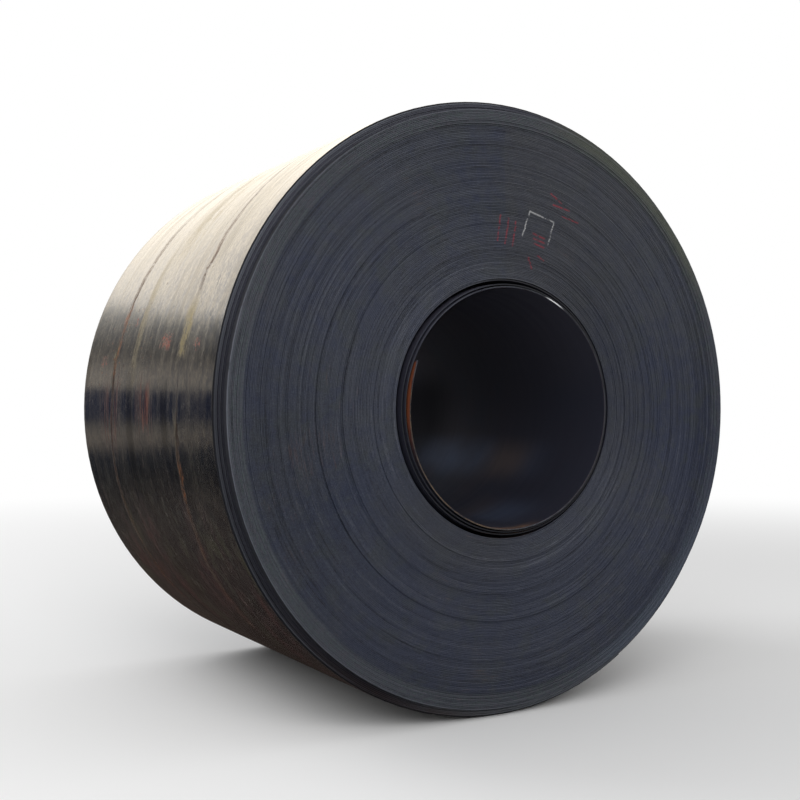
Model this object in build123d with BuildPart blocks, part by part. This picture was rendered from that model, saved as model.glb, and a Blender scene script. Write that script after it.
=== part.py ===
import os
from math import sin

from build123d import *

os.makedirs("parts", exist_ok=True)

# Driving dimensions in millimetres: a hot-rolled strip wound into a coil
strip_width = 1350.0        # every turn is this wide, from one end of the coil to the other
strip_thickness = 5.0
bore_radius = 381.0         # inside of the innermost turn, left by a 762 mm mandrel

# Turns counted from the bore outwards
slack_turns = 3             # loose turns that have slid out of the bore
slack_gap = 18.0            # air between the slack turns and the tight ones
face_groups = (3, 12, 15, 7, 16, 18, 26, 3)   # tight turns that slid together, group by group
ring_turns = 9              # turns that stand out as a raised ring near the rim
rim_pairs = 3               # the outermost turns, set back two by two
turns_in_pair = 2

# How far the turns have slid towards the front, measured from the outermost pair
rim_step = 4.0              # from one rim pair to the next
ring_slide = 35.0
face_slide = 23.0           # the dished face where it meets the ring
mouth_slide = 39.0          # the dished face at its inner edge
group_wander = 2.2          # groups lie a little in or out of the dished face
slack_slide = 66.0          # the innermost turn, which has come out furthest
slack_step = 8.0            # each slack turn further out has slid this much less

gap_depth = 150.0           # the gap round the slack turns stays open this deep at both ends


def slack_layers():
    """Inner radius, outer radius and slide of each slack turn, from the bore outwards."""
    return [
        (
            bore_radius + turn * strip_thickness,
            bore_radius + (turn + 1) * strip_thickness,
            slack_slide - turn * slack_step,
        )
        for turn in range(slack_turns)
    ]


def tight_layers(mouth_radius):
    """The same for each group of tight turns: the dished face, the raised ring, the rim pairs."""
    face_height = sum(face_groups) * strip_thickness
    groups = []
    radius = mouth_radius
    for index, turns in enumerate(face_groups):
        outer = radius + turns * strip_thickness
        from_mouth = ((radius + outer) / 2 - mouth_radius) / face_height
        dished = mouth_slide + (face_slide - mouth_slide) * from_mouth
        groups.append((radius, outer, dished + group_wander * sin(2.4 * index)))
        radius = outer

    outer = radius + ring_turns * strip_thickness
    groups.append((radius, outer, ring_slide))

    for pair in reversed(range(rim_pairs)):
        radius = outer
        outer = radius + turns_in_pair * strip_thickness
        groups.append((radius, outer, pair * rim_step))
    return groups


slack = slack_layers()
mouth_radius = slack[-1][1] + slack_gap
tight = tight_layers(mouth_radius)
coil_radius = tight[-1][1]

# The innermost turn reaches furthest to the front and the outermost pair furthest to the
# back, and the coil's overall length is centred on the origin
furthest_slide = max(slide for inner, outer, slide in slack + tight)
rim_front = (furthest_slide - strip_width) / 2
rim_back = rim_front + strip_width


def end_outline(rim_end, inward):
    """One end of the half section, from the bore to the rim, with a step at every group of
    turns. The section lies in the YZ plane, so the axis is at the height of the coil's radius."""
    def edges(layers):
        return [
            (rim_end - slide, coil_radius + radius)
            for inner, outer, slide in layers
            for radius in (inner, outer)
        ]

    gap_floor = rim_end + inward * gap_depth
    return [
        *edges(slack),
        (gap_floor, coil_radius + slack[-1][1]),
        (gap_floor, coil_radius + mouth_radius),
        *edges(tight),
    ]


# The coil lies on its side, so the section is turned about a level axis
coil_axis = Axis((0, 0, coil_radius), (0, 1, 0))

with BuildPart() as coil:
    with BuildSketch(Plane.YZ):
        with BuildLine():
            Polyline(
                *end_outline(rim_front, inward=1),
                *reversed(end_outline(rim_back, inward=-1)),
                close=True,
            )
        make_face()
    revolve(axis=coil_axis)

coil.part.label = "coil"
export_step(coil.part, "parts/coil.step")

print("diameter", 2 * coil_radius, "bore", 2 * bore_radius, "length", strip_width + furthest_slide)
print("volume in cubic metres", coil.part.volume / 1e9)
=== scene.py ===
# A coil of hot-rolled steel strip lying on its side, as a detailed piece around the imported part
import math

import bpy
import numpy as np
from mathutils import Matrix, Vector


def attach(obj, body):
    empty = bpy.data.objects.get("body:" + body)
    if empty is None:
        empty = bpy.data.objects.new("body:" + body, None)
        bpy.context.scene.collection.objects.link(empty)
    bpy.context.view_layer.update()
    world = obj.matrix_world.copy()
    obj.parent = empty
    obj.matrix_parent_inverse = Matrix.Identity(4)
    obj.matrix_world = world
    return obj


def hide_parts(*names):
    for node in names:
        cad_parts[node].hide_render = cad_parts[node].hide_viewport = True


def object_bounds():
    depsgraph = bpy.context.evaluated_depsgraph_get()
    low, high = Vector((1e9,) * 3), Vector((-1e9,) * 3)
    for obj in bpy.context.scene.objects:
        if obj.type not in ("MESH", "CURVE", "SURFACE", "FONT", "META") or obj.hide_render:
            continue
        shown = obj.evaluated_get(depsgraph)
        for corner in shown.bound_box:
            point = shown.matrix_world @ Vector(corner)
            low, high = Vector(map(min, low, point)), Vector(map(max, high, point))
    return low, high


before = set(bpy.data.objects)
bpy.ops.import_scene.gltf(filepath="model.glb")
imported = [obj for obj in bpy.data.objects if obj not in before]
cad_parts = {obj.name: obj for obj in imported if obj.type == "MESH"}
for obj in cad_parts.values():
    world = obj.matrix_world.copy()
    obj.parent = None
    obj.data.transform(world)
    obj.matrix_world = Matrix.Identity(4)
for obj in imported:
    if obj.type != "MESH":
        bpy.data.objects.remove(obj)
cadLow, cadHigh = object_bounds()
scene = bpy.context.scene
axisHeight = (cadLow.z + cadHigh.z) / 2     # the bore's axis is level, half way up
coilRadius = (cadHigh.x - cadLow.x) / 2
print("frame loaded")


# Shader maths: a socket that adds its own nodes when it is calculated with
class Wire:
    def __init__(self, tree, socket=None):
        self.tree = tree
        self.socket = socket

    # any node: its type, its settings first, then values or wires for its inputs
    def node(self, kind, settings=None, inputs=None, output=0):
        made = self.tree.nodes.new(kind)
        for name, value in (settings or {}).items():
            if name == "stops":
                ramp = made.color_ramp.elements
                while len(ramp) < len(value):
                    ramp.new(1.0)
                for stop, (position, colour) in zip(ramp, value):
                    stop.position = position
                    stop.color = colour
            else:
                setattr(made, name, value)
        for name, value in (inputs or {}).items():
            if isinstance(value, Wire):
                self.tree.links.new(value.socket, made.inputs[name])
            else:
                made.inputs[name].default_value = value
        return Wire(self.tree, made.outputs[output])

    def math(self, operation, first, second=0.0):
        return self.node("ShaderNodeMath", {"operation": operation}, {0: first, 1: second})

    def __add__(self, other):
        return self.math("ADD", self, other)

    def __radd__(self, other):
        return self.math("ADD", other, self)

    def __sub__(self, other):
        return self.math("SUBTRACT", self, other)

    def __rsub__(self, other):
        return self.math("SUBTRACT", other, self)

    def __mul__(self, other):
        return self.math("MULTIPLY", self, other)

    def __rmul__(self, other):
        return self.math("MULTIPLY", other, self)

    def __truediv__(self, other):
        return self.math("DIVIDE", self, other)

    def root(self):
        return self.math("SQRT", self)

    def most(self, other):
        return self.math("MAXIMUM", self, other)

    def least(self, other):
        return self.math("MINIMUM", self, other)

    # 0 below low, 1 above high, a smooth curve between; low may be the larger of the two
    def rise(self, low, high):
        falling = low > high
        ends = (high, low) if falling else (low, high)
        curve = self.node("ShaderNodeMapRange", {"interpolation_type": "SMOOTHSTEP"},
                          {0: self, 1: ends[0], 2: ends[1]})
        return 1.0 - curve if falling else curve

    # 1 where it is close to a value, 0 where it is far from it
    def by(self, value, far, close):
        return self.math("ABSOLUTE", self - value).rise(far, close)

    # 1 between the inner two of four rising values, 0 beyond the outer two
    def within(self, fromNone, fromAll, toAll, toNone):
        return self.rise(fromNone, fromAll) * self.rise(toNone, toAll)

    def vector(self, x, y, z):
        return self.node("ShaderNodeCombineXYZ", None, {0: x, 1: y, 2: z})

    def noise(self, x, y, z, detail, roughness):
        return self.node("ShaderNodeTexNoise", {"noise_dimensions": "3D"},
                         {"Vector": self.vector(x, y, z), "Scale": 1.0, "Detail": detail,
                          "Roughness": roughness})

    # a colour between two: low where this is 0, high where it is 1
    def blend(self, low, high):
        return self.node("ShaderNodeMix", {"data_type": "RGBA"}, {0: self, 6: low, 7: high}, output=2)


# an 8-bit screen colour as the linear one that shaders take
def tint(red, green, blue):
    share = np.array([red, green, blue]) / 255
    linear = np.where(share <= 0.04045, share / 12.92, ((share + 0.055) / 1.055) ** 2.4)
    return (*(float(part) for part in linear), 1.0)


# a new material, a wire in its tree and the place on the object, in metres
def newMaterial(name):
    material = bpy.data.materials.new(name)
    material.use_nodes = True
    wire = Wire(material.node_tree)
    return material, wire, wire.node("ShaderNodeTexCoord", output=3)


# a material for the coil: its position is across, along the axis and up from the axis
def startFinish(name):
    material, wire, place = newMaterial(name)
    across, along, up = (
        wire.node("ShaderNodeSeparateXYZ", None, {0: place}, output=part) for part in range(3)
    )
    return material, wire, across, along, up - axisHeight


# gives the named inputs of the material's main shader their values or wires
def feed(wire, **sockets):
    shader = wire.tree.nodes["Principled BSDF"]
    for name, value in sockets.items():
        socket = shader.inputs[name.replace("_", " ")]
        if isinstance(value, Wire):
            wire.tree.links.new(value.socket, socket)
        else:
            socket.default_value = value


# shows another shader on the surface instead of the main one
def show(wire, surface):
    wire.tree.links.new(surface.socket, wire.tree.nodes["Material Output"].inputs["Surface"])


# The winding: one strip wound from its inner end outwards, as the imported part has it. Lengths
# are in metres, and slides are towards the front from the rim's outermost turn
winding = {
    "stripWidth": 1.350,
    "stripThickness": 0.005,
    "boreRadius": 0.381,
    "slackGap": 0.018,          # air between the slack turns and the tight ones, in all
    "looseGaps": (0.0030, 0.0034),      # share of that air taken between the slack turns,
    "looseRise": (0.1, 0.7),    # from this part of a turn on, and over this much of it
    "innerEnd": 293.0,          # where the strip starts, in degrees clockwise from the top
    "outerEnd": 149.0,          # where it ends, on the last turn
    "climb": (150.0, 90.0),     # between these bearings each turn climbs onto the one below
    "slackTurns": 3,            # turns that have slid out of the bore
    "slackSlide": 0.066,        # the innermost one's slide; each next one has slid less by a step
    "slackStep": 0.008,
    "gapDepth": 0.150,          # of the gap round them, from each end
    "faceGroups": (3, 12, 15, 7, 16, 18, 26, 3),        # turns in each group of the dished face
    "mouthSlide": 0.039,        # the slide of the face beside the bore and beside the ring
    "faceSlide": 0.023,
    "ringTurns": 9,
    "ringSlide": 0.035,
    "rimSlides": (0.0090, 0.0060, 0.0078, 0.0030, 0.0042, 0.0),     # of the outermost turns
    "rampTurns": 12,            # the last turns of the face rise towards the ring,
    "ringStep": 0.003,          # all but this last step
    "groupWander": 0.0010,      # groups of turns lie in or out by up to this much
    "groupPhase": 2.4,
    "jump": (2.15, 3.0),        # turns between which the strip crosses the slack gap
    "dipDepth": 0.0048,         # the free inner end stands this far into the bore
    "dipLength": 0.14,          # over this part of a turn, steeper at the end itself
    "dipPowers": (0.62, 1.4),
    "edgeInset": 0.12,          # an edge's corners are set in by this share of the thickness
    "grooveDepth": 0.0013,      # the groove between two turns that touch
    "rimGroove": 0.0035,        # how much deeper it gets between the outermost turns
    "looseRim": 9,              # how many turns those are
    "openAir": (0.0006, 0.004), # a groove turns into a gap from this much air on, over this much
    "gapShare": 0.25,           # beyond this share of that its walls are dark
    "uneven": 0.0005,           # single turns lie in or out by up to this much,
    "proud": 0.0012,            # and one turn in ten stands out by this much
    "proudShare": 0.10,
    "edgeWander": 0.0009,       # the slow wander of the edge along the strip,
    "wanderTurns": 0.31,        # with a new height after this part of a turn
    "rimTurns": 0.2,            # the same for the outermost grooves
    "unevenSeed": 8,
    "edgeSeed": 3,
    "rimSeed": 5,
    "sideWave": 0.0004,         # the outside waves by up to twice this
    "sharpAngle": 72,           # in degrees
    "samplesPerTurn": 128,
    "boreRows": 16,             # rows of points from the front to the back, inside and outside
    "sideRows": 24,
    "edgeRows": (0.0006, 0.0022),       # rows this close to the edges, as shares of the width
}

# the coil's material slots, in the order in which they are filled
sideSlot, edgeSlot, boreSlot = 0, 1, 2


# The slide of every turn towards the front, from the bore outwards, group by group
def turnSlides():
    w = winding
    slides = [w["slackSlide"] - index * w["slackStep"] for index in range(w["slackTurns"])]
    total = sum(w["faceGroups"])
    passed = 0
    for index, count in enumerate(w["faceGroups"]):
        fromMouth = (passed + count / 2) / total
        dished = w["mouthSlide"] + (w["faceSlide"] - w["mouthSlide"]) * fromMouth
        slides += [dished + w["groupWander"] * math.sin(w["groupPhase"] * index)] * count
        passed += count
    for index in range(w["rampTurns"]):
        share = ((index + 1) / w["rampTurns"]) ** 2
        slides[index - w["rampTurns"]] += (w["ringSlide"] - w["faceSlide"] - w["ringStep"]) * share
    slides += [w["ringSlide"]] * w["ringTurns"]
    slides += list(w["rimSlides"])
    return np.array(slides)


# How many turns the strip makes from its inner end to its outer end
def turnsWound(slides):
    return len(slides) - 1 + (winding["innerEnd"] - winding["outerEnd"]) / 360


# A smooth step: 3s^2 - 2s^3 of the share s, held between 0 and 1
def ease(share):
    share = np.clip(share, 0, 1)
    return share * share * (3 - 2 * share)


# Value noise: random heights at even knots, joined by smooth curves
def wander(position, spacing, seed):
    values = np.random.default_rng(seed).uniform(-1, 1, int(position.max() / spacing) + 3)
    knot = np.floor(position / spacing).astype(int)
    share = ease(position / spacing - knot)
    return values[knot] * (1 - share) + values[knot + 1] * share


def buildCoil():
    w = winding
    perTurn = w["samplesPerTurn"]
    thickness = w["stripThickness"]
    slides = turnSlides()
    count = int(round(turnsWound(slides) * perTurn)) + 1
    turn = np.arange(count) / perTurn
    bearing = np.radians(w["innerEnd"] - 360 * turn)

    # turns are round, and climb by their own thickness between the two bearings of the climb
    climbFrom, climbTo = [(w["innerEnd"] - angle) / 360 for angle in w["climb"]]
    sinceClimb = turn - climbFrom
    below = np.floor(sinceClimb)
    level = below + ease((sinceClimb - below) / (climbTo - climbFrom))

    # inner surface of the strip: the turns below it, a smooth jump over the slack gap, and
    # a dip of the free inner end towards the axis
    jump = ease((turn - w["jump"][0]) / (w["jump"][1] - w["jump"][0]))
    air = w["slackGap"] * jump
    looseFrom, looseOver = w["looseRise"]
    for index, gap in enumerate(w["looseGaps"]):
        air += gap * ease((turn - index - looseFrom) / looseOver) * (1 - jump)
    freeEnd = np.clip(turn / w["dipLength"], 0, 1)
    lean, sharpness = w["dipPowers"]
    dip = w["dipDepth"] * np.sin(np.pi * freeEnd ** lean) ** sharpness
    radius = w["boreRadius"] + thickness * level + air - dip

    # how far the strip's edge has slid: each turn's own slide, and a slow wander along it that
    # dies away over the last two turns
    base = np.clip(np.floor(level).astype(int), 0, len(slides) - 1)
    above = np.minimum(base + 1, len(slides) - 1)
    random = np.random.default_rng(w["unevenSeed"])
    number = np.arange(len(slides))
    tight = (number > w["slackTurns"]) * (number < len(slides) - len(w["rimSlides"]))
    uneven = w["uneven"] * random.uniform(-1, 1, len(slides))
    uneven += w["proud"] * (random.uniform(0, 1, len(slides)) > 1 - w["proudShare"])
    slides = slides + uneven * tight
    slide = slides[base] + (slides[above] - slides[base]) * (level - base)
    drift = wander(turn, w["wanderTurns"], w["edgeSeed"])
    slide += w["edgeWander"] * drift * np.clip((turn.max() - turn) / 2, 0, 1)
    rimFront = cadHigh.y - w["stripWidth"]
    frontEdge = np.maximum(rimFront - slide, cadLow.y)
    backEdge = np.minimum(frontEdge + w["stripWidth"], cadHigh.y)

    # three spirals of points at each end: the strip's inner edge, its outer edge and the
    # valley between it and the next turn
    inset = w["edgeInset"] * thickness
    innerEdge = radius + inset
    outerEdge = radius + thickness - inset
    last = count - perTurn
    valley = (outerEdge[:last] + innerEdge[perTurn:]) / 2
    opening = innerEdge[perTurn:] - outerEdge[:last] - 2 * inset
    wide = np.clip((opening - w["openAir"][0]) / w["openAir"][1], 0, 1)
    rimLoose = np.clip(turn[:last] - (len(slides) - w["looseRim"]), 0, 1)
    rimLoose = rimLoose * (0.6 + 0.4 * wander(turn[:last], w["rimTurns"], w["rimSeed"]))
    groove = w["grooveDepth"]
    depth = groove + w["rimGroove"] * rimLoose + (w["gapDepth"] - groove) * ease(wide)

    def points(radii, bearings, along):
        return np.stack([radii * np.sin(bearings), along, axisHeight + radii * np.cos(bearings)], -1)

    parts = []
    starts = {}
    size = 0

    def add(name, block):
        nonlocal size
        starts[name] = size
        parts.append(block)
        size += len(block)

    for end, edge, inward in (("front", frontEdge, 1), ("back", backEdge, -1)):
        lower = np.maximum if end == "front" else np.minimum
        valleyAlong = lower(edge[:last], edge[perTurn:]) + inward * depth
        add(end + "Inner", points(innerEdge, bearing, edge))
        add(end + "Outer", points(outerEdge, bearing, edge))
        add(end + "Valley", points(valley, bearing[:last], valleyAlong))

    quads = []
    finishes = []

    # quads between two runs of points; flip turns the faces round
    def strip(first, second, finish, flip):
        ring = np.stack([first[:-1], second[:-1], second[1:], first[1:]], -1)
        quads.append(ring[:, ::-1] if flip else ring)
        finishes.append(np.broadcast_to(finish, len(ring)))

    # the walls of a wide gap have the bore's finish
    steps = np.arange(count)
    gaps = wide > w["gapShare"]
    valleyFinish = np.where(gaps[:-1] | gaps[1:], boreSlot, edgeSlot)
    for end, flip in (("front", False), ("back", True)):
        inner = starts[end + "Inner"] + steps
        outer = starts[end + "Outer"] + steps
        valleys = starts[end + "Valley"] + steps[:last]
        strip(inner, outer, edgeSlot, flip)
        strip(outer[:last], valleys, valleyFinish, flip)
        strip(valleys, inner[perTurn:], valleyFinish, flip)

    # walls from the front loop to the back loop, with rows close to both edges; between them a
    # wall swells to the strip's full thickness, less a slow wave of under a millimetre
    def wall(loop, rows, swell, waves, finish, flip):
        front = np.concatenate([starts["front" + name] + index for name, index in loop])
        back = np.concatenate([starts["back" + name] + index for name, index in loop])
        everything = np.concatenate(parts)
        a, b = everything[front], everything[back]
        close = np.array(w["edgeRows"])
        shares = np.concatenate([close, np.linspace(0, 1, rows)[1:-1], 1 - close[::-1]])
        block = a + (b - a) * shares[:, None, None]
        offset = block - np.array([0, 0, axisHeight])
        reach = np.hypot(offset[..., 0], offset[..., 2])
        wave = np.sin(7 * offset[..., 1] + 1.3) * np.sin(3.1 * offset[..., 0] + 2.3 * offset[..., 2])
        grown = np.minimum(reach + swell - waves * (1 + wave), coilRadius)
        block[..., 0] *= grown / reach
        block[..., 2] = axisHeight + offset[..., 2] * grown / reach
        name = "wall" + str(len(starts))
        add(name, block.reshape(-1, 3))
        width = len(front)
        rowsOfIndices = [front] + [starts[name] + row * width + np.arange(width)
                                   for row in range(len(shares))] + [back]
        for before, after in zip(rowsOfIndices, rowsOfIndices[1:]):
            strip(np.append(before, before[0]), np.append(after, after[0]), finish, flip)

    firstTurn = steps[:perTurn + 1]
    lastTurn = steps[count - 1 - perTurn:]
    wall([("Inner", firstTurn), ("Valley", steps[:1]), ("Outer", steps[:1])],
         w["boreRows"], -inset, 0.0, boreSlot, True)
    wall([("Outer", lastTurn), ("Inner", steps[-1:]), ("Valley", steps[last - 1:last])],
         w["sideRows"], inset, w["sideWave"], sideSlot, False)

    mesh = bpy.data.meshes.new("coil_turns")
    vertices = np.concatenate(parts)
    faces = np.concatenate(quads)
    mesh.from_pydata(vertices.tolist(), [], faces.tolist())
    mesh.polygons.foreach_set("material_index", np.concatenate(finishes).astype(np.int32))
    mesh.polygons.foreach_set("use_smooth", np.ones(len(faces), bool))
    turns = np.zeros(len(vertices), np.float32)
    for end in ("front", "back"):
        for name, run in (("Inner", steps), ("Outer", steps), ("Valley", steps[:last])):
            turns[starts[end + name] + run] = turn[run]
    attribute = mesh.attributes.new("turn", "FLOAT", "POINT")
    attribute.data.foreach_set("value", turns)
    mesh.update()
    mesh.set_sharp_from_angle(angle=math.radians(w["sharpAngle"]))
    coil = bpy.data.objects.new("coil_turns", mesh)
    scene.collection.objects.link(coil)
    print("coil wound:", len(vertices), "points,", 2 * len(faces), "triangles")
    return coil


coil = buildCoil()

# Finish of the outside: scale that mirrors its surroundings, with streaks, rust and soot
side = {
    "darkScale": tint(70, 74, 84),
    "greyScale": tint(130, 127, 122),
    # pale dust, which also paints in the warm cream of the highlight on the upper side
    "dust": tint(165, 157, 140),
    "film": tint(73, 67, 54),
    "olive": tint(138, 124, 78),
    "undersideShade": tint(46, 34, 29),
    "shade": tint(24, 18, 16),
    "plum": tint(80, 42, 40),
    "moss": tint(66, 65, 46),
    "rust": tint(46, 30, 21),
    "paleRust": tint(94, 66, 46),
    "freshRust": tint(158, 90, 38),
    "redRust": tint(150, 62, 34),
    "dripRust": tint(134, 64, 34),
    "oldRust": tint(33, 23, 17),
    "lowRust": tint(96, 66, 38),
    "soot": tint(22, 22, 23),
    "metallic": 0.92,
    "specular": 0.2,
    "roughness": 0.07,          # of clean scale, before streaks, dust and rust add to it
    "dustAmount": (0.14, 0.42),         # the same everywhere, and with the streaks
    "dustHeights": (0.30, 0.80),        # above the axis, from none to all
    "ripple": (0.5, 0.0005),    # strength and depth of the faint ripples and of the streaks
    "relief": (0.10, 0.002),
    # each noise's features per metre along the axis and round the coil, its detail, its
    # roughness and its shift; the first three are the rolling streaks
    "noises": {
        "hair": (170, 2.2, 2, 0.5, 0),
        "fine": (260, 1.4, 3, 0.6, 0),
        "broad": (26, 0.7, 3, 0.6, 0),
        "cloud": (3, 2.5, 3, 0.6, 0),
        "mottle": (34, 22, 4, 0.65, 0),
        "crumb": (120, 80, 3, 0.65, 0),
        "film": (15, 1.3, 3, 0.65, 5),
        "tarnish": (8, 3, 4, 0.7, 2),
        "broken": (90, 9, 3, 0.7, 0),
        "fleck": (190, 150, 2, 0.6, 0),
        "freckle": (60, 60, 2, 0.5, 0),
        "speck": (150, 60, 2, 0.6, 0),
        "scrape": (210, 7, 2, 0.6, 7),
        "nick": (330, 26, 2, 0.6, 3),
        "ripple": (52, 22, 3, 0.55, 0),
    },
    # rust that has run round the coil: the bearing and the place along the axis at each bend
    # of its path, half width, strength
    "runs": (
        (((326, 0.300), (292, 0.318), (274, 0.332), (256, 0.375), (222, 0.400)), 0.013, 1.0),
        (((312, 0.330), (290, 0.340), (276, 0.338)), 0.004, 0.9),
        (((328, -0.290), (298, -0.345), (291, -0.356)), 0.014, 1.0),
        (((270, -0.350), (264, -0.330), (222, -0.250)), 0.011, 1.0),
        (((276, -0.350), (259, -0.345), (253, -0.300)), 0.005, 1.0),
        (((276, 0.250), (262, 0.245)), 0.003, 0.8),
        (((275, 0.034), (263, 0.030), (250, 0.050)), 0.003, 0.8),
        (((274, 0.008), (266, 0.004)), 0.003, 0.9),
        (((273, -0.062), (268, -0.066)), 0.005, 0.8),
        (((262, -0.205), (250, -0.200)), 0.003, 0.7),
        (((96, 0.250), (20, 0.262)), 0.006, 0.9),
        (((118, -0.210), (48, -0.240)), 0.009, 0.8),
        (((140, -0.480), (92, -0.470)), 0.005, 0.7),
        (((130, 0.530), (62, 0.515)), 0.006, 0.8),
    ),
    # soft patches: place along the axis, half width, bearings from and to, strength
    "olivePatches": ((-0.010, 0.11, 304, 326, 0.55), (0.110, 0.055, 276, 300, 0.50),
                     (-0.352, 0.052, 280, 290, 1.0), (-0.330, 0.03, 261, 270, 0.45),
                     (0.343, 0.022, 279.5, 283, 1.0)),
    "darkPatches": ((0.140, 0.050, 257, 276, 0.9), (-0.225, 0.040, 263, 274, 0.9),
                    (0.338, 0.030, 273, 279, 1.0), (0.060, 0.03, 236, 262, 0.3),
                    (0.675, 0.035, 276, 281, 1.0)),
    "redPatches": ((0.190, 0.026, 286.3, 289.0, 1.0), (-0.185, 0.090, 281.2, 284.2, 1.0),
                   (-0.470, 0.045, 280.4, 282.6, 1.0), (0.330, 0.030, 285, 291, 0.8),
                   (0.480, 0.070, 279.0, 281.5, 0.8)),
    "dripPatches": ((-0.02, 0.12, 266, 275, 1.0), (0.36, 0.16, 262, 276, 0.6)),
}


# Bearing of a place in degrees, clockwise from the top as seen from the front, 0 to 360
def bearingOf(wire, across, up):
    angle = wire.math("ARCTAN2", across, up) * (180 / math.pi)
    return angle + wire.math("LESS_THAN", angle, 0.0) * 360.0


# How many turns the strip has made where it passes a place, as the mesh says at the strip's edges
def turnOf(wire):
    return wire.node("ShaderNodeAttribute", {"attribute_name": "turn"}, output=2)


# 1 in the middle of a soft patch, 0 outside it
def patches(along, bearing, listed):
    total = 0.0
    for centre, half, start, finish, strength in listed:
        edge = (finish - start) * 0.3
        band = bearing.within(start - edge, start + edge, finish - edge, finish + edge)
        total = along.by(centre, half, half * 0.3) * band * strength + total
    return total


# 1 on a path round the coil that bends at the given bearings, 0 beyond its half width
def pathRound(along, bearing, bends, half):
    finish, place = bends[0]
    for (before, here), (after, there) in zip(bends, bends[1:]):
        place = bearing.rise(before, after) * (there - here) + place
    start = bends[-1][0]
    reach = bearing.within(start - 4, start + 5, finish - 5, finish + 4)
    return along.by(place, half * 1.7, half * 0.25) * reach


def sideFinish():
    material, wire, across, along, up = startFinish("mill_scale_side")
    bearing = bearingOf(wire, across, up)

    def noise(name):
        lengthwise, roundwise, detail, roughness, shift = side["noises"][name]
        return wire.noise(along * lengthwise + shift, across * roundwise, up * roundwise,
                          detail, roughness)

    # rolling streaks run round the coil: hairlines, fine ones, and broad ones a hand wide
    hair, fine, broad = noise("hair"), noise("fine"), noise("broad")
    cloud, mottle, crumb = noise("cloud"), noise("mottle"), noise("crumb")
    streak = fine * 0.4 + broad * 0.6
    toned = streak * 0.32 + mottle * 0.30 + crumb * 0.38
    colour = toned.rise(0.405, 0.60).blend(side["darkScale"], side["greyScale"])

    # pale dust settles on the upper side, in streaks, and paints in the warm cream of the highlight
    # there; the lower side is darker and browner, a painted shade
    even, streaky = side["dustAmount"]
    dustAndHighlight = (streak * 0.5 + cloud * 0.3 + mottle * 0.2).rise(0.36, 0.62) * streaky + even
    dustAndHighlight = dustAndHighlight * up.rise(*side["dustHeights"])
    colour = dustAndHighlight.blend(colour, side["dust"])
    film = noise("film").rise(0.50, 0.66) * up.rise(0.10, 0.35)
    colour = (film * 0.5).blend(colour, side["film"])
    # painted shade: the lower side is darker and browner in patches, less so towards the front
    lowShade = up.rise(-0.35, -0.80) * (cloud * 0.6 + mottle * 0.4).rise(0.34, 0.60)
    lowShade = lowShade * (along.rise(-0.65, 0.10) * 0.55 + 0.45)
    colour = (lowShade * 0.8).blend(colour, side["undersideShade"])

    # low down the scale is tarnished in patches, some plum and some green
    tarnish = noise("tarnish") * 0.75 + streak * 0.25
    plum = up.rise(-0.20, -0.46) * tarnish.rise(0.505, 0.58)
    moss = up.rise(-0.16, -0.44) * tarnish.rise(0.485, 0.42)
    colour = (plum * 0.8).blend(colour, side["plum"])
    colour = (moss * 0.8).blend(colour, side["moss"])
    # painted shade: the very bottom of the side is darkened
    colour = (up.rise(-0.70, -0.90) * 0.8).blend(colour, side["shade"])

    # wobbling, broken edges for everything that has run or settled
    wobble = along + (wire.noise(across * 9, up * 9, along * 3, 3, 0.65) - 0.5) * 0.045
    around = bearing + (mottle - 0.5) * 9.0
    broken = noise("broken")
    olive = patches(wobble, around, side["olivePatches"]).least(1.0)
    olive = olive * (streak * 0.5 + mottle * 0.5).rise(0.36, 0.58)
    dark = patches(wobble, around, side["darkPatches"]).least(1.0)
    dark = dark * (streak * 0.6 + broken * 0.4).rise(0.26, 0.42)
    near = bearing + (mottle - 0.5) * 4.0
    red = patches(wobble, near, side["redPatches"]).least(1.0)
    red = (red * 0.2 + noise("fleck") * 0.7 + mottle * 0.3).rise(0.66, 0.78)

    stained = 0.0
    core = 0.0
    ragged = wobble + (crumb - 0.5) * 0.022
    for bends, half, strength in side["runs"]:
        stained = pathRound(ragged, bearing, bends, half) * strength + stained
        core = pathRound(ragged + half * 0.2, bearing, bends, half * 0.32) * strength + core
    torn = broken * 0.5 + crumb * 0.5
    stained = stained.least(1.0) * torn.rise(0.38, 0.54)
    core = core.least(1.0) * torn.rise(0.40, 0.54)
    core = core * (bearing.rise(306, 288) * 0.75 + 0.25)
    drips = hair.rise(0.53, 0.61) * patches(along, around, side["dripPatches"])
    freckle = noise("freckle").rise(0.66, 0.72) * cloud.rise(0.45, 0.60) * up.by(0.22, 0.40, 0.05)
    stained = stained.most(freckle * 0.7)

    # the freshest rust is just above the level of the axis, and on the near run just below it
    level = bearing.by(257, 6, 2) * along.by(-0.32, 0.08, 0.03)
    level = bearing.by(283, 13, 5) * along.rise(-0.26, -0.10) + level
    fresh = stained * level.least(1.0) * mottle.rise(0.40, 0.60) * (1.0 - core * 0.8)
    colour = (olive * 0.75).blend(colour, side["olive"])
    stained = stained * (bearing.rise(240, 272) * 0.15 + 0.85)
    stained = stained * (bearing.rise(318, 296) * 0.55 + 0.45)
    rust = bearing.rise(250, 268).blend(side["lowRust"], side["rust"])
    rust = bearing.rise(284, 300).blend(rust, side["paleRust"])
    colour = (stained * 0.9).blend(colour, rust)
    colour = (fresh * 0.75).blend(colour, side["freshRust"])
    colour = (red * 0.7).blend(colour, side["redRust"])
    colour = (drips * 0.8).blend(colour, side["dripRust"])
    colour = (core * 0.9).blend(colour, side["oldRust"])

    # soot and handling marks: dark specks and short dark hairs
    speck = noise("speck").rise(0.67, 0.75) * up.rise(-0.1, 0.2)
    scrape = noise("scrape").rise(0.63, 0.72) * bearing.by(290, 16, 5) * cloud.rise(0.35, 0.55)
    nick = noise("nick").rise(0.66, 0.72) * bearing.by(294, 18, 6) * mottle.rise(0.40, 0.60)
    marks = (speck * 0.6).most(nick * 0.8).most(scrape)
    dark = dark.most(marks)
    colour = (dark * 0.75).blend(colour, side["soot"])

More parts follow.
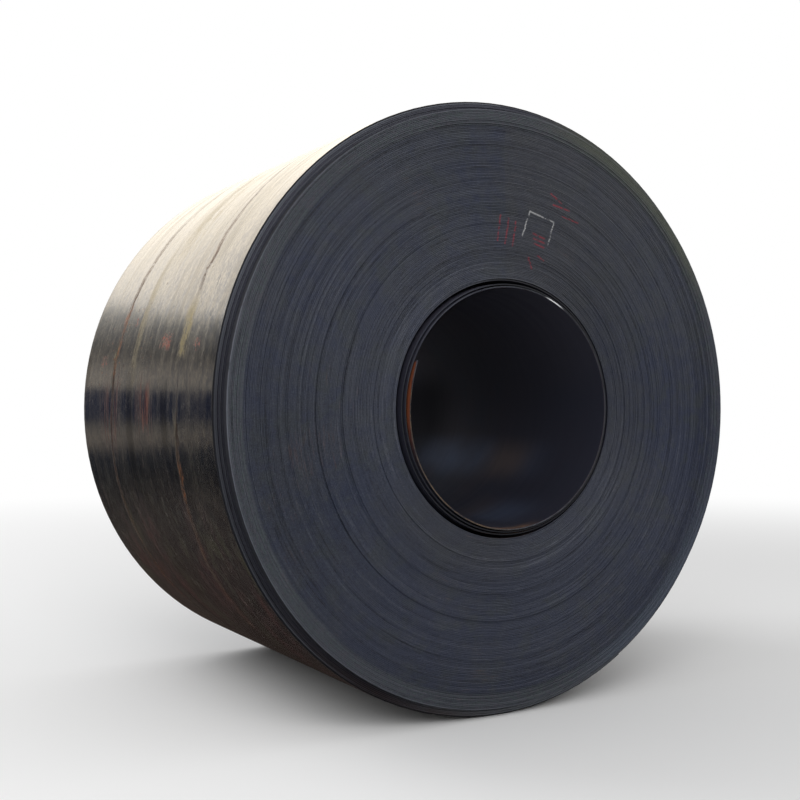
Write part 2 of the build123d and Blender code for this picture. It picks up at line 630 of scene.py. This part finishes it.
    # whatever has rusted or settled is matt; the scale under it mirrors, with a faint ripple
    matt = stained.most(olive * 0.6).most(red).most(core).most(drips * 0.8)
    rough = streak.rise(0.34, 0.68) * 0.15 + hair.rise(0.35, 0.8) * 0.10 + side["roughness"]
    rough = rough + matt * (up.rise(-0.36, 0.02) * 0.28 + 0.02)
    rough = rough + marks * 0.12 + dustAndHighlight * 0.10 + mottle.rise(0.5, 0.7) * 0.05
    ripple = noise("ripple") * (up.rise(-0.45, 0.10) * 0.65 + 0.35)
    strength, depth = side["ripple"]
    ripples = wire.node("ShaderNodeBump", None,
                        {"Strength": strength, "Distance": depth, "Height": ripple})
    height = fine * 0.5 + broad * 0.3 + hair * 0.2
    strength, depth = side["relief"]
    bump = wire.node("ShaderNodeBump", None, {"Strength": strength, "Distance": depth,
                                              "Height": height, "Normal": ripples})
    metal = (1.0 - matt * 0.85) * (1.0 - marks * 0.35) * (1.0 - dustAndHighlight * 0.4) * side["metallic"]
    metal = metal * (1.0 - (plum + moss) * 0.40)
    feed(wire, Base_Color=colour, Metallic=metal, Roughness=rough, Normal=bump,
         Specular_IOR_Level=side["specular"])
    return material


# Finish of the ends: the strip's slit edges, turn by turn
ends = {
    "blueEdge": tint(46, 52, 71),
    "greyEdge": tint(56, 60, 70),
    "mossEdge": tint(57, 62, 60),
    "neutralEdge": tint(60, 61, 64),
    "darkEdgeAndShade": tint(24, 26, 33),
    "paleEdge": tint(92, 95, 104),
    "ring": tint(66, 70, 77),
    "ringGreen": tint(72, 84, 80),
    "ringPink": tint(82, 76, 84),
    "ringBlue": tint(72, 81, 98),
    "rim": tint(60, 61, 73),
    "rimPaintedLight": tint(104, 110, 116),
    "rimTinge": tint(84, 88, 70),
    "rimShade": tint(20, 19, 26),
    "rimGrime": tint(52, 36, 30),
    "ringWallShade": tint(40, 41, 48),
    "lastTurn": tint(16, 17, 22),
    "paintedLitTurn": tint(98, 102, 110),
    "slackEdge": tint(30, 31, 36),
    "innerLine": tint(70, 74, 82),
    "innerBrown": tint(96, 80, 62),
    "glint": tint(212, 214, 217),
    "litFaceTint": tint(71, 74, 82),
    "rust": tint(96, 60, 42),
    "chalk": tint(178, 179, 180),
    "crayon": tint(140, 44, 56),
    "metallic": 0.1,
    "roughness": 0.62,
    "specular": 0.25,
    "ringRadii": (0.912, 0.960),
    "wallBehind": 0.033,        # the ring's outer wall starts this far behind the foremost turn
    # how the strokes look: half width, how rubbed they are, how far the turns break them, strength
    "chalkLook": (0.0036, (0.38, 0.56), (0.38, 0.52), 0.72),
    "crayonLook": (0.0042, (0.34, 0.54), (0.34, 0.50), 0.60),
    # chalk and crayon strokes: an open bracket and tally strokes, across and height in metres
    "chalkStrokes": (
        ((0.064, 1.552), (0.098, 1.634)),
        ((0.098, 1.634), (0.196, 1.606)),
        ((0.196, 1.606), (0.168, 1.528)),
    ),
    "crayonStrokes": (
        ((-0.035, 1.530), (-0.020, 1.612)), ((-0.005, 1.522), (0.012, 1.604)),
        ((0.024, 1.516), (0.040, 1.596)), ((0.108, 1.562), (0.154, 1.548)),
        ((0.110, 1.546), (0.160, 1.532)), ((0.112, 1.530), (0.150, 1.518)),
        ((0.088, 1.482), (0.098, 1.446)), ((0.128, 1.490), (0.150, 1.476)),
        ((0.186, 1.700), (0.230, 1.672)), ((0.196, 1.664), (0.262, 1.650)),
        ((0.232, 1.628), (0.300, 1.612)),
    ),
}


# 1 on a straight stroke between two points, 0 beyond its half width: the distance from the
# place to the nearest point of the segment, which is start + share * (finish - start)
def stroke(wire, across, up, start, finish, half):
    runX, runZ = finish[0] - start[0], finish[1] - start[1]
    fromX = across - start[0]
    fromZ = up - (start[1] - axisHeight)
    share = (fromX * runX + fromZ * runZ) / (runX ** 2 + runZ ** 2)
    share = wire.node("ShaderNodeClamp", None, {0: share})
    missX = fromX - share * runX
    missZ = fromZ - share * runZ
    miss = (missX * missX + missZ * missZ).root()
    return miss.rise(half, half * 0.4)


def endFinish():
    material, wire, across, along, up = startFinish("strip_edges")
    turn = turnOf(wire)
    radius = (across * across + up * up).root()
    bearing = bearingOf(wire, across, up)

    # tone of each turn, of groups of turns, and of short dashes along a turn
    perTurn = wire.noise(turn * 5.3, across * 1.2, up * 1.2, 2, 0.7)
    perGroup = wire.noise(turn * 0.31, across * 0.8, up * 0.8, 3, 0.65)
    dash = wire.noise(turn * 7.1, across * 14, up * 14, 3, 0.7)
    grain = wire.noise(across * 190, up * 190, along * 50, 3, 0.7)
    cloud = wire.noise(across * 2.2 + 3.0, up * 2.2, 0.0, 4, 0.65)
    blotch = wire.noise(across * 22, up * 22, 0.0, 3, 0.6)

    # patches of blue and grey, greyer towards the top: a little painted light
    patchy = cloud * 0.55 + blotch * 0.45 + up * 0.09
    colour = patchy.rise(0.39, 0.62).blend(ends["blueEdge"], ends["greyEdge"])
    spots = wire.noise(across * 10, up * 10, 4.0, 3, 0.65)
    colour = (spots.rise(0.52, 0.62) * 0.35).blend(colour, ends["mossEdge"])
    neutral = bearing.by(205, 50, 16) * radius.rise(0.62, 0.46)
    neutral = bearing.by(18, 46, 14) + neutral
    colour = (neutral * 0.45).blend(colour, ends["neutralEdge"])

    # painted light and shade: broad parts of the face are made paler where the turns catch the light,
    # most of all at the upper left, and dimmer in other parts, by bearing and radius
    lighter = radius.rise(0.66, 0.48) * 0.30 + (up - across).rise(0.2, 1.1) * 0.22
    lighter = lighter + bearing.by(42, 55, 10) * radius.rise(0.5, 0.8) * 0.34
    lighter = lighter + bearing.by(138, 55, 10) * 0.24
    lighter = lighter + bearing.by(200, 62, 24) * radius.rise(0.50, 0.66) * 0.24
    colour = lighter.blend(colour, ends["litFaceTint"])
    darker = bearing.by(256, 52, 10) * radius.rise(0.55, 0.8) * 0.18
    darker = darker + bearing.by(72, 62, 22) * radius.rise(0.64, 0.46) * 0.26
    colour = darker.blend(colour, ends["darkEdgeAndShade"])

    # the ring of turns that has slid out, and the rim outside it
    ringInner, ringOuter = ends["ringRadii"]
    inRing = radius.rise(ringInner - 0.009, ringInner + 0.003)
    inRim = radius.rise(ringOuter - 0.0012, ringOuter - 0.0002)
    colour = (inRing * (0.8 - bearing.by(92, 40, 15) * 0.65)).blend(colour, ends["ring"])
    stain = wire.noise(across * 48, up * 48, turn * 0.8, 3, 0.7)
    colour = (inRing * stain.rise(0.50, 0.62) * 0.35).blend(colour, ends["ringGreen"])
    colour = (inRing * stain.rise(0.50, 0.38) * 0.30).blend(colour, ends["ringPink"])
    bluer = bearing.by(135, 34, 10) * 0.5
    colour = (inRing * bluer).blend(colour, ends["ringBlue"])
    colour = (inRim * 0.8).blend(colour, ends["rim"])
    # painted light: the inner part of the rim near the bottom is lightened against its shade
    below = bearing.by(164, 46, 24) * radius.rise(0.9886, 0.9830)
    colour = (inRim * below * 0.7).blend(colour, ends["rimPaintedLight"])
    tinged = bearing.by(38, 34, 14) * radius.rise(0.90, 0.95)
    colour = (tinged * 0.55).blend(colour, ends["rimTinge"])

    # light and dark turns, dashes and specks over all of that
    tone = perTurn * 0.28 + perGroup * 0.27 + dash * 0.24 + grain * 0.21
    colour = (tone.rise(0.50, 0.36) * 0.75).blend(colour, ends["darkEdgeAndShade"])
    paler = tone.rise(0.52, 0.68) * (radius.rise(0.64, 0.44) * 0.3 + 0.55)
    colour = paler.blend(colour, ends["paleEdge"])
    speck = wire.noise(across * 210, up * 210, turn * 3.0, 2, 0.8)
    colour = (speck.rise(0.50, 0.30) * 0.40).blend(colour, ends["darkEdgeAndShade"])
    colour = (speck.rise(0.52, 0.74) * 0.32).blend(colour, ends["paleEdge"])

    # a painted highlight on the ring's outer turns, in broken patches and brightest on the near side,
    # painted shade on the ring's outer wall, and the grime on the rim beside the floor
    worn = radius.rise(ringOuter - 0.010, ringOuter - 0.003) * (1.0 - inRim)
    worn = worn * (dash * 0.5 + blotch * 0.5).rise(0.34, 0.52)
    colour = (worn * (0.3 + bearing.by(276, 26, 8) * 0.5)).blend(colour, ends["paleEdge"])
    # painted shade on the ring's outer wall
    wall = radius.rise(ringOuter - 0.0030, ringOuter - 0.0022) * (1.0 - inRim)
    wallFront = cadLow.y + ends["wallBehind"]
    wall = wall * along.rise(wallFront - 0.001, wallFront + 0.001)
    colour = (wall * 0.85).blend(colour, ends["ringWallShade"])
    grimy = bearing.within(168, 204, 214, 240) * radius.rise(0.955, 0.975)
    colour = (grimy * cloud.rise(0.3, 0.55) * 0.7).blend(colour, ends["rimGrime"])

    # painted light and shade: the rim's turns are lit and shaded by turns on the near side, as steps
    # would be
    layer = wire.math("COSINE", (turn + bearing / 360.0) * math.pi)
    lines = layer.rise(-0.6, 0.6) * inRim * bearing.within(226, 270, 322, 352)
    colour = (lines * 0.55).blend(colour, ends["paintedLitTurn"])

    # the last turn's edge is dark, and the one before it has a painted highlight, most of all beside
    # the side; painted shade darkens the rim low on the near side
    full = turnsWound(turnSlides())
    onLast = turn.rise(full - 1.01, full - 0.99)
    onNext = turn.rise(full - 2.01, full - 1.99) * (1.0 - onLast)
    shaded = bearing.within(186, 214, 268, 302) * inRim
    colour = (onNext * bearing.rise(200, 230) * 0.55).blend(colour, ends["paintedLitTurn"])
    colour = (shaded * 0.60).blend(colour, ends["rimShade"])     # low on the near side
    colour = (onLast * 0.85).blend(colour, ends["lastTurn"])

    # the slack turns are dark but for a thin light line on the innermost one
    slackEnd = winding["slackTurns"]
    slack = turn.rise(slackEnd + 0.05, slackEnd - 0.05)
    slack = slack * (0.85 - bearing.by(318, 45, 20) * 0.5)
    colour = slack.blend(colour, ends["slackEdge"])
    innermost = turn.rise(0.99, 0.95)
    line = innermost * (dash * 0.5 + grain * 0.5).rise(0.40, 0.60)
    brown = bearing.within(170, 200, 280, 296)
    line = line * (0.75 - bearing.by(95, 70, 35) * 0.35)
    colour = line.blend(colour, brown.blend(ends["innerLine"], ends["innerBrown"]))
    front = along.rise(0.1, -0.1)
    # a painted glint on the innermost turn's edge at the top right, on the front end only
    glint = innermost * bearing.by(27, 7, 2) * blotch.rise(0.20, 0.42) * front
    colour = glint.blend(colour, ends["glint"])

    rusty = (dash * 0.5 + cloud * 0.5).rise(0.58, 0.70) * 0.16
    colour = rusty.blend(colour, ends["rust"])

    # the strokes are on the front end alone, and are broken by the turns and rubbed in patches
    smear = wire.noise(across * 60, up * 60, 0.0, 3, 0.7)
    for strokes, look, shade in ((ends["crayonStrokes"], ends["crayonLook"], ends["crayon"]),
                                 (ends["chalkStrokes"], ends["chalkLook"], ends["chalk"])):
        half, rubbed, gaps, strength = look
        drawn = 0.0
        for start, finish in strokes:
            drawn = stroke(wire, across, up, start, finish, half) + drawn
        drawn = drawn.least(front) * smear.rise(*rubbed) * tone.rise(*gaps)
        colour = (drawn * strength).blend(colour, shade)
    feed(wire, Base_Color=colour, Metallic=ends["metallic"], Roughness=ends["roughness"],
         Specular_IOR_Level=ends["specular"])
    return material


# Finish of the bore and of the slack turns' faces
bore = {
    "dark": tint(56, 54, 63),
    "blue": tint(50, 53, 65),
    "front": tint(39, 40, 51),
    "deep": tint(25, 25, 31),
    "top": tint(68, 66, 76),
    "sheen": tint(72, 84, 108),
    "sheenBrown": tint(86, 76, 74),
    "rust": tint(150, 80, 40),
    "paleRust": tint(120, 92, 70),
    "metallic": 0.1,
    "roughness": 0.36,          # before the streaks add to it
    "specular": 0.4,
}


def boreFinish():
    material, wire, across, along, up = startFinish("mill_scale_bore")
    turn = turnOf(wire)
    bearing = bearingOf(wire, across, up)
    streak = wire.noise(along * 40, across * 2.0, up * 2.0, 3, 0.6)
    cloud = wire.noise(along * 4.0, across * 4.0, up * 4.0, 3, 0.6)
    colour = cloud.rise(0.4, 0.65).blend(bore["dark"], bore["blue"])
    # painted light and shade inside the bore: dimmer and bluer in the front half, dimmest low down at
    # the back, paler at the top
    colour = (along.rise(0.3, -0.5) * 0.9).blend(colour, bore["front"])
    colour = (along.rise(0.12, 0.42) * up.rise(0.22, 0.05)).blend(colour, bore["deep"])
    colour = (up.rise(0.0, 0.34) * 0.35).blend(colour, bore["top"])

    # a painted bluish sheen low down inside, on the side away from the free end
    sheen = up.by(-0.19, 0.10, 0.01) * along.by(0.02, 0.56, 0.10) * 0.9
    sheen = sheen + bearing.by(162, 22, 4) * along.by(-0.42, 0.24, 0.05) * 0.35
    sheen = sheen * cloud.rise(0.0, 0.7) * across.rise(0.0, 0.1)
    tinge = along.by(-0.22, 0.22, 0.04).blend(bore["sheen"], bore["sheenBrown"])
    colour = sheen.blend(colour, tinge)

    # rust near the front lip, at the bottom and on the free end's outer face
    lip = along.rise(cadLow.y + 0.060, cadLow.y + 0.010)
    bottom = bearing.within(160, 172, 186, 204)
    worn = (streak * 0.5 + cloud * 0.5).rise(0.40, 0.58)
    colour = (lip * bottom * worn * 0.8).blend(colour, bore["paleRust"])
    free = turn.within(0.0005, 0.004, 0.05, 0.17) * along.rise(-0.55, -0.62)
    free = free * (0.30 + bearing.rise(246, 266) * 0.42)
    colour = (free * streak.rise(0.25, 0.5)).blend(colour, bore["rust"])
    rough = streak * 0.2 + bore["roughness"]
    feed(wire, Base_Color=colour, Metallic=bore["metallic"], Roughness=rough,
         Specular_IOR_Level=bore["specular"])
    return material


# in the order of the slots
for finish in (sideFinish, endFinish, boreFinish):
    coil.data.materials.append(finish())
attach(coil, "root")
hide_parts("coil")
print("finishes made")

# The studio: white surroundings, a pale floor, soft lamps and the photograph's camera
studio = {
    "cameraPlace": (-2.1343, -3.6372, 1.0125),
    "cameraTurn": (90.10, 0.075, -30.402),      # in degrees
    "cameraLens": 50.83,        # lens and sensor width in millimetres
    "cameraSensor": 36.0,
    "ambient": 0.60,            # the surroundings' light on the coil; they show as 1
    # how bright the surroundings are in polished steel, low down and higher up, with a tint
    "glossLevels": (1.66, 2.02),
    "glossTint": (1.0, 0.92, 0.80, 1.0),
    "floorColour": 0.90,
    "floorRadius": 60.0,
    "floorFade": (3.0, 9.0),    # between these distances the floor turns into plain white
    "flagRadius": 12.0,
    "circleSteps": 96,
    # each lamp's name, place, target, size and power
    "lamps": (("front_soft", (-3.5, -6.0, 5.0), (0, 0, 1), 5.0, 260),
              ("back_soft", (-5.0, 6.0, 6.5), (-0.8, 0, 1), 6.0, 300)),
}


def addCamera():
    camera = bpy.data.objects.new("camera", bpy.data.cameras.new("camera"))
    camera.location = studio["cameraPlace"]
    camera.rotation_euler = [math.radians(angle) for angle in studio["cameraTurn"]]
    camera.data.lens = studio["cameraLens"]
    camera.data.sensor_width = studio["cameraSensor"]
    scene.collection.objects.link(camera)
    scene.camera = camera


# 1 for rays that show the surroundings: straight to the camera, or by way of gloss or glass;
# and 1 for those by way of gloss alone
def shownRays(wire):
    camera, glossy, through = [wire.node("ShaderNodeLightPath", output=name) for name in
                               ("Is Camera Ray", "Is Glossy Ray", "Is Transmission Ray")]
    return camera.most(glossy).most(through), glossy


def addSurroundings():
    world = bpy.data.worlds.new("surroundings")
    world.use_nodes = True
    scene.world = world
    wire = Wire(world.node_tree)
    shown, glossy = shownRays(wire)
    ray = wire.node("ShaderNodeTexCoord", output=0)
    lift = wire.node("ShaderNodeSeparateXYZ", None, {0: ray}, output=2)
    background = world.node_tree.nodes["Background"]
    low, high = studio["glossLevels"]
    beside = glossy * lift.rise(0.80, 0.55)     # straight overhead the surroundings stay plain
    warm = (beside * lift.rise(0.14, 0.30)).blend((1.0, 1.0, 1.0, 1.0), studio["glossTint"])
    world.node_tree.links.new(warm.socket, background.inputs["Color"])
    added = beside * (lift.rise(0.12, 0.22) * (low - 1.0) + lift.rise(0.22, 0.32) * (high - low))
    strength = shown * (1.0 - studio["ambient"]) + studio["ambient"] + added
    world.node_tree.links.new(strength.socket, background.inputs["Strength"])


# a mesh of the studio, no part of the piece
def stageMesh(name, points, faces, material):
    mesh = bpy.data.meshes.new(name)
    mesh.from_pydata(points.tolist(), [], faces)
    mesh.materials.append(material)
    made = bpy.data.objects.new(name, mesh)
    scene.collection.objects.link(made)
    return made


# points on a level circle round the coil's place on the floor
def circle(radius, height):
    steps = np.linspace(0, 2 * np.pi, studio["circleSteps"], endpoint=False)
    return np.stack([radius * np.cos(steps), radius * np.sin(steps), 0 * steps + height], -1)


def addFloor():
    material, wire, place = newMaterial("pale_floor")
    far = wire.node("ShaderNodeVectorMath", {"operation": "LENGTH"}, {0: place}, output=1)
    plain = wire.node("ShaderNodeBsdfDiffuse", None, {"Color": (studio["floorColour"],) * 3 + (1.0,)})
    white = wire.node("ShaderNodeEmission", None, {"Color": (1.0, 1.0, 1.0, 1.0)})
    fade = far.rise(*studio["floorFade"]) * shownRays(wire)[0]
    show(wire, wire.node("ShaderNodeMixShader", None, {0: fade, 1: plain, 2: white}))
    stageMesh("floor", circle(studio["floorRadius"], 0.0), [range(studio["circleSteps"])], material)


# Studio flags, seen only in the steel's reflections: a wall all round, toned by height, the
# ground inside it, toned by distance, and a dark card behind the bore
flags = {
    "wallStops": ((0.00, tint(146, 137, 126)), (0.36, tint(108, 104, 99)),
                  (0.60, tint(56, 59, 76)), (1.58, tint(58, 62, 81)),
                  (1.72, tint(184, 175, 162)), (2.20, tint(178, 169, 158)),
                  (2.95, tint(116, 111, 104)), (3.85, tint(170, 166, 160)),
                  (4.42, tint(250, 245, 234))),
    "groundStops": ((0.0, tint(38, 32, 30)), (1.3, tint(66, 57, 53)), (2.4, tint(74, 67, 62)),
                    (4.2, tint(42, 40, 40)), (5.6, tint(41, 43, 49)), (7.2, tint(52, 54, 61)),
                    (8.4, tint(122, 114, 106)), (12.0, tint(146, 137, 126))),
    "mouthStops": ((0.0, tint(27, 27, 32)), (1.58, tint(21, 21, 26))),
    "mouthCard": (0.60, 0.45, 1.58, 0.95),      # half width, from and to height, place along
    "groundLift": 0.0004,       # so that it lies just above the floor
}


# a finish that glows in the tones of its stops, by height or by distance from the middle
def flagMaterial(name, stops, measure):
    material, wire, place = newMaterial(name)
    if measure == "height":
        amount = wire.node("ShaderNodeSeparateXYZ", None, {0: place}, output=2)
    else:
        amount = wire.node("ShaderNodeVectorMath", {"operation": "LENGTH"}, {0: place}, output=1)
    longest = stops[-1][0]
    scaled = [(position / longest, colour) for position, colour in stops]
    colour = wire.node("ShaderNodeValToRGB", {"stops": scaled}, {0: amount / longest})
    show(wire, wire.node("ShaderNodeEmission", None, {"Color": colour}))
    return material


def addFlags():
    steps = studio["circleSteps"]
    radius = studio["flagRadius"]
    top = flags["wallStops"][-1][0]
    points = np.concatenate([circle(radius, 0.0), circle(radius, top)])
    here = np.arange(steps)
    beside = (here + 1) % steps
    faces = np.stack([here, beside, steps + beside, steps + here], -1).tolist()
    wallFinish = flagMaterial("flag_wall", flags["wallStops"], "height")
    groundFinish = flagMaterial("flag_ground", flags["groundStops"], "distance")
    wallFlag = stageMesh("flag_wall", points, faces, wallFinish)
    groundFlag = stageMesh("flag_ground", circle(radius, 0.0), [range(steps)], groundFinish)
    groundFlag.location.z = flags["groundLift"]
    half, low, high, place = flags["mouthCard"]
    points = np.array([[-half, place, low], [half, place, low],
                       [half, place, high], [-half, place, high]])
    mouthFinish = flagMaterial("flag_mouth", flags["mouthStops"], "height")
    mouthFlag = stageMesh("flag_mouth", points, [[0, 1, 2, 3]], mouthFinish)
    for flag in (wallFlag, groundFlag, mouthFlag):
        flag.visible_camera = False
        flag.visible_diffuse = False
        flag.visible_shadow = False
        flag.visible_transmission = False


# a square lamp turned towards its target, which the steel doesn't mirror
def addLamp(name, place, target, size, power):
    lamp = bpy.data.lights.new(name, "AREA")
    lamp.shape = "SQUARE"
    lamp.size = size
    lamp.energy = power
    holder = bpy.data.objects.new(name, lamp)
    holder.location = place
    direction = np.array(target) - np.array(place)
    flat = math.hypot(direction[0], direction[1])
    holder.rotation_euler = (math.atan2(flat, -direction[2]), 0,
                             math.atan2(direction[1], direction[0]) - math.pi / 2)
    holder.visible_glossy = False
    scene.collection.objects.link(holder)


addCamera()
addSurroundings()
addFloor()
addFlags()
for lamp in studio["lamps"]:
    addLamp(*lamp)
scene.view_settings.view_transform = "Standard"
print("studio set")
